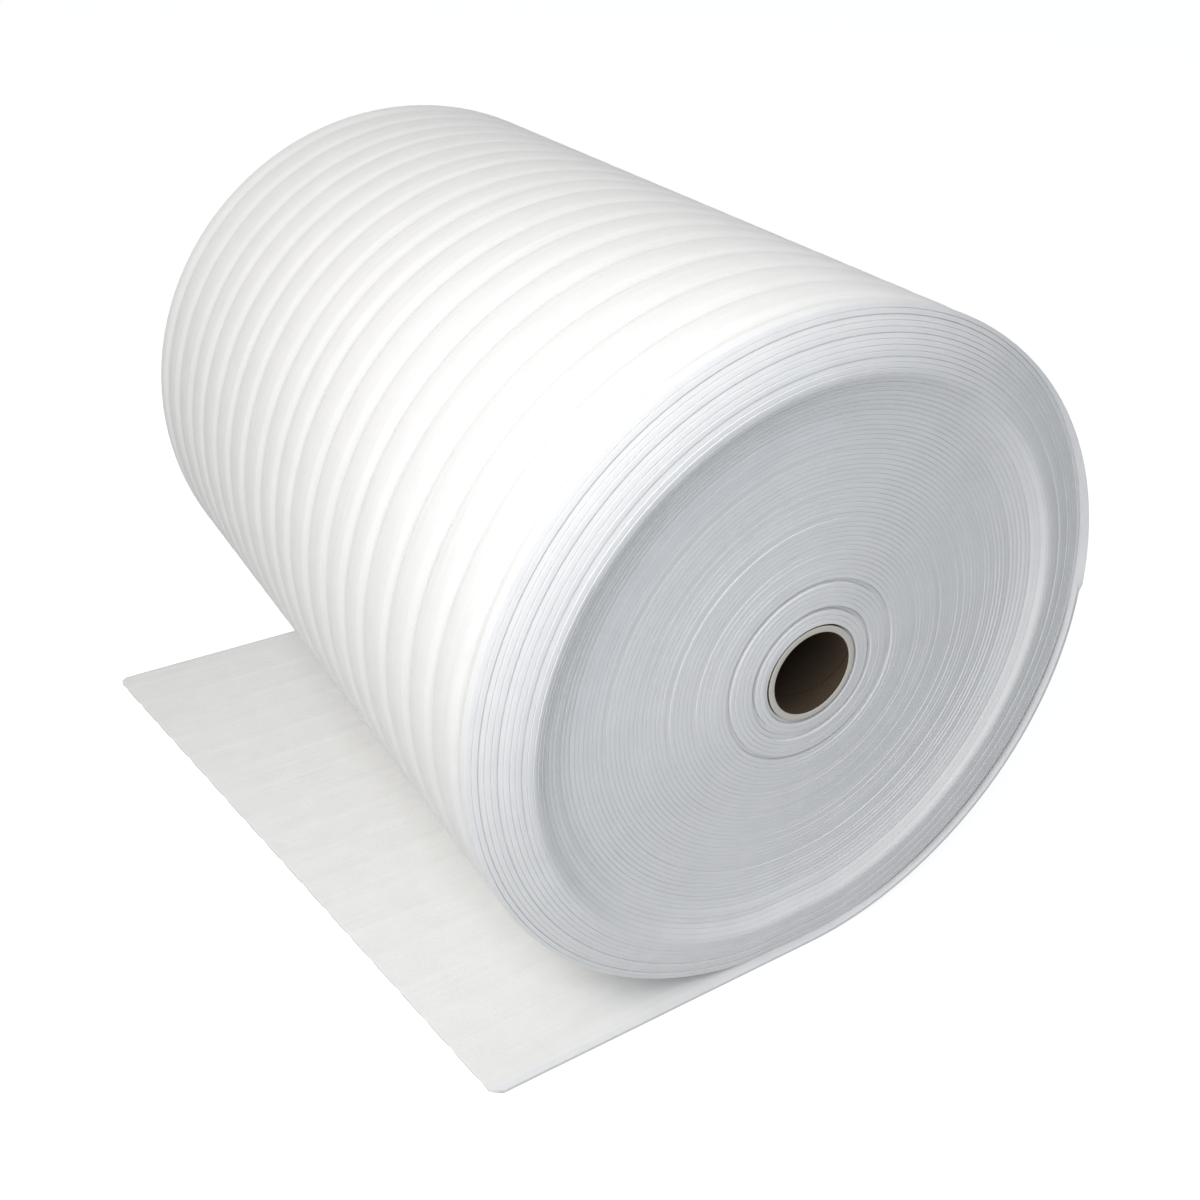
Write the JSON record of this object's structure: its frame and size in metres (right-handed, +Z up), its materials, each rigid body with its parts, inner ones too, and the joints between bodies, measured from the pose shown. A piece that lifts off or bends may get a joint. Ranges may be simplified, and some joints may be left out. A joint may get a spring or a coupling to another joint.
{
  "type": "foam wrap roll",
  "caption": "Roll of white ribbed packing foam on a cardboard core, lying on its side with its free end run out flat on the floor.",
  "frame": {"origin": "on the floor under the roll's axis, halfway along the width of the sheet", "axes": "+Y along the roll's axis, away from the end that the picture shows; the free end points to -X; +Z up"},
  "size_m": [0.7125, 0.7787, 0.609],
  "materials": {
    "foam": "matt expanded polyethylene foam",
    "cardboard": "plain wound kraft board"
  },
  "bodies": {
    "root": {"foam_sheet": "foam", "core_tube": "cardboard"}
  },
  "joints": []
}
